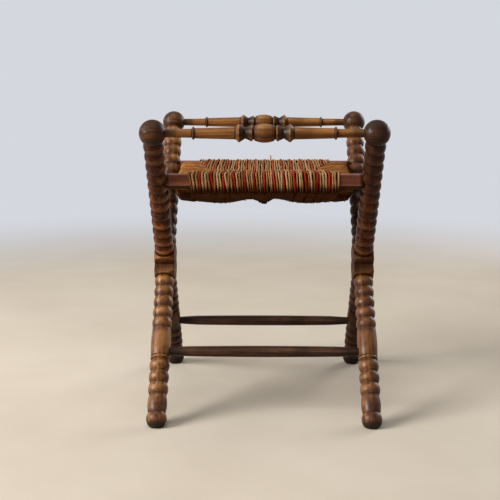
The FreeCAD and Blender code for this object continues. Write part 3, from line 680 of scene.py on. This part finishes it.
def front_to_back():
    """Strands over the front and back rails, closer together in the middle, that dive in at the seams."""
    strands = Strands()
    share = (np.arange(STRAND_COUNT) + 0.5) / STRAND_COUNT * 2 - 1
    middles = WRAP * (share - CROWDING * np.sin(math.pi * share) / math.pi)
    half = np.gradient(middles) / 2
    for end in (-1, 1):
        for number, x in enumerate(middles):
            inside = max(0.0, abs(x) - APEX) / (WRAP - APEX)
            start = max(SEAM_START, SIDE_REACH * inside ** SEAM_CURVE)
            section = half_section(x, INSET + rng.uniform(*INSET_RANGE), start)
            high, low = section[0][1], section[-1][1]
            dive = [[start + along, high + rise] for along, rise in DIVE]
            tuck = [[along, low + rise] for along, rise in TUCK]
            outline = resample(np.concatenate([dive, section[1:-TUCKED_POINTS], tuck]), STRAND_STEP)
            count = len(outline)
            drop = np.clip((TOP - outline[:, 1]) / (TOP - BOTTOM), 0, 1)
            lean = LEAN_ACROSS - LEAN_CHANGE * x / WRAP + rng.normal(0, LEAN_RANGE)
            slant = lean * (drop - LEAN_PIVOT) * np.clip((outline[:, 0] - LEAN_START) / LEAN_RUN, 0, 1)
            under = np.clip((BOTTOM - outline[:, 1]) / BELLY, 0, 1)
            across = x - slant * end + wander(count, WOBBLE_ACROSS)
            up = outline[:, 1] + wander(count, WOBBLE_UP) + under * wander(count, WOBBLE_UNDER)
            path = np.stack([across, outline[:, 0] * end, up], axis=1)
            slot = strand_slot(number)
            thickness = rng.uniform(*THICKNESS) + DYED_EXTRA * slot
            radius = half[number] * thickness * (1 + wander(count, UNEVEN, UNEVEN_LENGTH))
            radius *= 1 + LOOSENED * np.clip(under * 4, 0, 1)
            tint = rng.uniform(*TINTS) + TINT_STEP * (number % 2)
            strands.add(path, radius, (1, 0, 0), slot, tint)
    return strands.build("straw_front_to_back", [NATURAL, RED])


def side_outline(y, inset):
    """From the seam, out over a side rail, down its slack outer face and back in under the seat, as
    (distance from the middle, height)."""
    t = abs(y) / SIDE_REACH
    start = APEX + (WRAP - APEX) * t ** SIDE_SEAM_CURVE
    crown = PANEL_CROWN * bow(t)
    outer = SIDE_OUTER + SIDE_SPREAD * (1 + y / SIDE_REACH) - inset
    high = SIDE_TOP - inset
    low = SIDE_BOTTOM + inset - SIDE_BELLY * sag(t) - BELLY_SWELL * bow(t)
    inner = high - SIDE_SEAM_DIP * (1 - t) + crown
    shoulder = high - SHOULDER_DIP * (1 - t) + crown
    swelled = SIDE_SWELL * min(1.0, (SIDE_REACH - abs(y)) / (SIDE_REACH - SWELL_REACH))
    slack = max(swelled - (outer + inset - SIDE_OUTER), 0.0)
    middle = (shoulder + low) / 2
    under = low - RAIL_SAG * (1 - t)
    outline = [(start + along, inner + rise) for along, rise in SIDE_DIVE]
    if start < WRAP - WRAP_CLEAR:
        outline.append((WRAP, high - WRAP_DIP * (1 - t) + crown))
    outline.extend([(SIDE_MIDDLE, shoulder), (SIDE_MIDDLE + SHOULDER_RUN, shoulder - SHOULDER_FALL)])
    outline.extend(corner((outer - SHOULDER_ROUND, shoulder - SHOULDER_ROUND_DROP),
                          SHOULDER_ROUND, 85, 10, 5))
    outline.extend([(outer + slack * SLACK_SHARE, middle + SLACK_RISE), (outer + slack, middle)])
    outline.extend(corner((outer + slack - UNDER_ROUND, low + UNDER_ROUND_RISE),
                          UNDER_ROUND, 0, -80, 5))
    outline.extend([(SIDE_MIDDLE, low), (WRAP, under), (WRAP - UNDER_RUN, under + UNDER_RISE)])
    return np.array(outline)


def side_to_side():
    """Strands over the side rails, which fill the triangles between the two panels."""
    strands = Strands()
    pitch = 2 * SIDE_REACH / SIDE_STRAND_COUNT
    for side in (-1, 1):
        for number in range(SIDE_STRAND_COUNT):
            y = SIDE_REACH * SIDE_FILL * ((number + 0.5) / SIDE_STRAND_COUNT * 2 - 1)
            outline = resample(side_outline(y, INSET + rng.uniform(*INSET_RANGE)), STRAND_STEP)
            count = len(outline)
            path = np.stack([outline[:, 0] * side, y + wander(count, SIDE_WOBBLE_ACROSS),
                             outline[:, 1] + wander(count, SIDE_WOBBLE_UP)], axis=1)
            radius = pitch / 2 * rng.uniform(*SIDE_THICKNESS)
            radius = radius * (1 + wander(count, SIDE_UNEVEN, SIDE_UNEVEN_LENGTH))
            tint = rng.uniform(*SIDE_TINTS) + SIDE_TINT_STEP * (number % 2)
            strands.add(path, radius, (0, 1, 0), strand_slot(number), tint)
    return strands.build("straw_side_to_side", [TAN, RUSSET])


# Loose straw: a tuft under the middle, fine wisps along the lower edge, and two ends that stick out.
TUFT_STRANDS = 34
TUFT_HALF_WIDTH = 0.030
TUFT_X, TUFT_Y = (-0.026, 0.016), (-0.030, 0.002)
TUFT_DROP = (0.002, 0.007)
TUFT_RADII, TUFT_STEP, TUFT_TINT = (0.0028, 0.0014), 0.0015, 0.4
WISPS = 90
WISP_X, WISP_Y = (-0.125, 0.125), (-0.007, 0.004)
WISP_DROP = (0.0015, 0.0035)
WISP_BEND, WISP_CURL = 0.001, 0.003
WISP_RADII, WISP_STEP, WISP_TINT = (0.0007, 0.0004), 0.001, 0.3
END_RADII, END_STEP, END_TINT = (0.0014, 0.0009), 0.002, 0.4
LOOSE_ENDS = (
    ((0.014, REACH - 0.008, TOP - 0.003), (0.0145, REACH - 0.007, TOP + 0.003),
     (0.0135, REACH - 0.006, TOP + 0.007)),
    ((0.138, -0.060, 0.390), (0.144, -0.062, 0.386), (0.149, -0.063, 0.381)),
)


def loose_ends():
    """The frayed tuft and wisps that hang under the seat, and two ends that have worked free."""
    strands = Strands(6)

    def add(points, step, radii, tint):
        path = resample(np.array(points), step)
        strands.add(path, np.linspace(*radii, len(path)), (0, 1, 0), 0, tint)

    for _ in range(TUFT_STRANDS):
        x, y = rng.uniform(*TUFT_X), rng.uniform(*TUFT_Y)
        hang = hang_at(x, y)
        drop = rng.uniform(*TUFT_DROP) * (1 - abs(x) / TUFT_HALF_WIDTH)
        add([(x * 1.2, y - 0.006, hang + 0.004), (x * 1.1, y - 0.003, hang),
             (x, y, hang - drop * 0.5), (x * 0.8, y + 0.001, hang - drop)],
            TUFT_STEP, TUFT_RADII, TUFT_TINT)
    for _ in range(WISPS):
        x, y = rng.uniform(*WISP_X), rng.uniform(*WISP_Y)
        hang = hang_at(x, y)
        add([(x, y, hang + 0.002), (x + rng.normal(0, WISP_BEND), y, hang - 0.001),
             (x + rng.normal(0, WISP_CURL), y, hang - rng.uniform(*WISP_DROP))],
            WISP_STEP, WISP_RADII, WISP_TINT)
    for points in LOOSE_ENDS:
        add(points, END_STEP, END_RADII, END_TINT)
    return strands.build("straw_loose_ends", [TAN])


def sheet(name, rows, material):
    """A surface through rows of points."""
    size = len(rows[0])
    faces = []
    for i in range(len(rows) - 1):
        for j in range(size - 1):
            faces.append((i * size + j, i * size + j + 1, (i + 1) * size + j + 1, (i + 1) * size + j))
    mesh = smooth_mesh(name, rows, faces, [material])
    mesh.update()
    return add_piece(name, mesh)


# The packing's depth inside the form and margin at its ends. Below, it comes down to a matted skin: how
# far, from how far under the form's bottom, and over what height.
PACKING_INSET = 0.0034
PACKING_MARGIN = 0.002
PACKING_ROWS = 65
PACKING_SIDE_ROWS, PACKING_SIDE_POINTS, PACKING_SIDE_STEP = 33, 60, 0.001
SKIN_DROP, SKIN_START, SKIN_RUN = 0.0036, 0.001, 0.006
SIDE_SKIN_DROP, SIDE_SKIN_START, SIDE_SKIN_RUN = 0.0034, 0.012, 0.010


def packing():
    """The stuffing behind the strands, as far as it shows between them."""
    material = packing_straw("straw_packing")
    rows = []
    for x in np.linspace(-WRAP + PACKING_MARGIN, WRAP - PACKING_MARGIN, PACKING_ROWS):
        front = half_section(x, PACKING_INSET, 0.0)
        below = (BOTTOM + PACKING_INSET - SKIN_START - front[:, 1]) / SKIN_RUN
        front[:, 1] -= SKIN_DROP * np.clip(below, 0, 1)
        loop = np.concatenate([front * [-1, 1], front[::-1], front[:1] * [-1, 1]])
        rows.append(np.stack([np.full(len(loop), x), loop[:, 0], loop[:, 1]], axis=1))
    pieces = [sheet("straw_packing_middle", rows, material)]
    side_edge = SIDE_REACH - PACKING_MARGIN
    for side_name, side in (("left", -1), ("right", 1)):
        rows = []
        for y in np.linspace(-side_edge, side_edge, PACKING_SIDE_ROWS):
            outline = resample(side_outline(y, PACKING_INSET), PACKING_SIDE_STEP)
            below = (SIDE_BOTTOM - SIDE_SKIN_START - outline[:, 1]) / SIDE_SKIN_RUN
            outline[:, 1] -= SIDE_SKIN_DROP * np.clip(below, 0, 1)
            outline = outline[np.linspace(0, len(outline) - 1, PACKING_SIDE_POINTS).astype(int)]
            rows.append(np.stack([outline[:, 0] * side, np.full(len(outline), y), outline[:, 1]], axis=1))
        pieces.append(sheet("straw_packing_" + side_name, rows, material))
    return pieces


for piece in (front_to_back(), side_to_side(), loose_ends(), *packing()):
    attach(piece, "root")
    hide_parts("rush_seat")

# The floor, the backdrop and the light.
BACKDROP = srgb(212, 215, 222)
FLOOR_PALE = [(0.3, srgb(200, 189, 173)), (0.7, srgb(210, 200, 185))]
FLOOR_BOUNCE = srgb(142, 120, 96)
FLOOR_RADIUS, FLOOR_SIDES, FLOOR_HEIGHT = 6, 64, -0.0004
FLOOR_FADE = (1.1, 2.6)
AMBIENT_COLOUR, AMBIENT_STRENGTH = (0.96, 0.97, 1.0, 1.0), 0.1
WINDOW_WHITE, LAMP_WHITE = (1.0, 0.97, 0.93), (1.0, 0.98, 0.95)


def looked_at(tree):
    """One where a ray comes from the camera, a mirror or glass, and nought where it only lights
    something."""
    path = tree.nodes.new("ShaderNodeLightPath")
    total = path.outputs["Is Camera Ray"]
    for kind in ("Is Glossy Ray", "Is Transmission Ray"):
        larger = tree.nodes.new("ShaderNodeMath")
        larger.operation = "MAXIMUM"
        tree.links.new(total, larger.inputs[0])
        tree.links.new(path.outputs[kind], larger.inputs[1])
        total = larger.outputs[0]
    return total


def blend_surface(tree, factor, first, second, output):
    """Links a blend of two nodes' light to an output's surface."""
    blend = tree.nodes.new("ShaderNodeMixShader")
    for place, source in enumerate((factor, first.outputs[0], second.outputs[0])):
        tree.links.new(source, blend.inputs[place])
    tree.links.new(blend.outputs[0], output.inputs["Surface"])


def make_floor():
    """A pale floor that fades into the backdrop with distance, and throws light back as boards would."""
    s = Shader("floor_pale")
    here = s.node("TexCoord", output="Object")
    pale = s.ramp(s.noise(here, 3.0), FLOOR_PALE)
    s.finish(Base_Color=s.mix(looked_at(s.tree), FLOOR_BOUNCE, pale), Roughness=0.9,
             Specular_IOR_Level=0.1)
    glow = s.tree.nodes.new("ShaderNodeEmission")
    glow.inputs["Color"].default_value = BACKDROP
    far = s.times(s.fit(s.length(here), *FLOOR_FADE), looked_at(s.tree))
    blend_surface(s.tree, far, s.surface, glow, s.output)
    ring = [(FLOOR_RADIUS * math.cos(angle), FLOOR_RADIUS * math.sin(angle), FLOOR_HEIGHT)
            for angle in np.linspace(0, 2 * math.pi, FLOOR_SIDES, endpoint=False)]
    mesh = bpy.data.meshes.new("floor")
    mesh.from_pydata(ring, [], [tuple(range(FLOOR_SIDES))])
    mesh.materials.append(s.material)
    piece = add_piece("floor", mesh)


def make_world():
    """Weak light from all round, and a plain pale backdrop where it is looked at."""
    world = bpy.data.worlds.new("studio")
    bpy.context.scene.world = world
    world.use_nodes = True
    tree = world.node_tree
    tree.nodes.clear()
    ambient = tree.nodes.new("ShaderNodeBackground")
    ambient.inputs["Color"].default_value = AMBIENT_COLOUR
    ambient.inputs["Strength"].default_value = AMBIENT_STRENGTH
    backdrop = tree.nodes.new("ShaderNodeBackground")
    backdrop.inputs["Color"].default_value = BACKDROP
    output = tree.nodes.new("ShaderNodeOutputWorld")
    blend_surface(tree, looked_at(tree), ambient, backdrop, output)


def light(name, place, aim_height, size, power, colour=LAMP_WHITE):
    """A round lamp that points at a height on the stool's middle axis."""
    lamp = bpy.data.lights.new(name, "AREA")
    lamp.shape = "DISK"
    lamp.size = size
    lamp.energy = power
    lamp.color = colour
    piece = add_piece(name, lamp)
    piece.location = place
    direction = np.array((0, 0, aim_height)) - np.array(place)
    piece.rotation_euler = (math.atan2(math.hypot(direction[X], direction[Y]), -direction[Z]), 0,
                            math.atan2(direction[Y], direction[X]) - math.pi / 2)


make_floor()
make_world()
light("window", (-3.3, -1.5, 1.9), aim_height=0.3, size=2.1, power=222, colour=WINDOW_WHITE)
light("front_fill", (-0.5, -3.0, 1.0), aim_height=0.3, size=1.8, power=6)
light("top", (-0.3, -0.2, 2.6), aim_height=0.25, size=1.6, power=21)
light("back_fill", (2.6, 2.3, 1.7), aim_height=0.25, size=2.2, power=60)

# The photograph's view, turned down and to the left by these degrees.
VIEW_PLACE = (-0.0065, -1.849, 0.6081)
VIEW_DOWN, VIEW_LEFT = 6.572, 0.627
camera = bpy.data.cameras.new("camera")
camera.sensor_width = 36
camera.lens = 70.27
camera.shift_y = -0.12
view = add_piece("camera", camera)
view.location = VIEW_PLACE
view.rotation_euler = (math.radians(90 - VIEW_DOWN), 0, math.radians(VIEW_LEFT))
bpy.context.scene.camera = view
bpy.context.scene.view_settings.view_transform = "Standard"
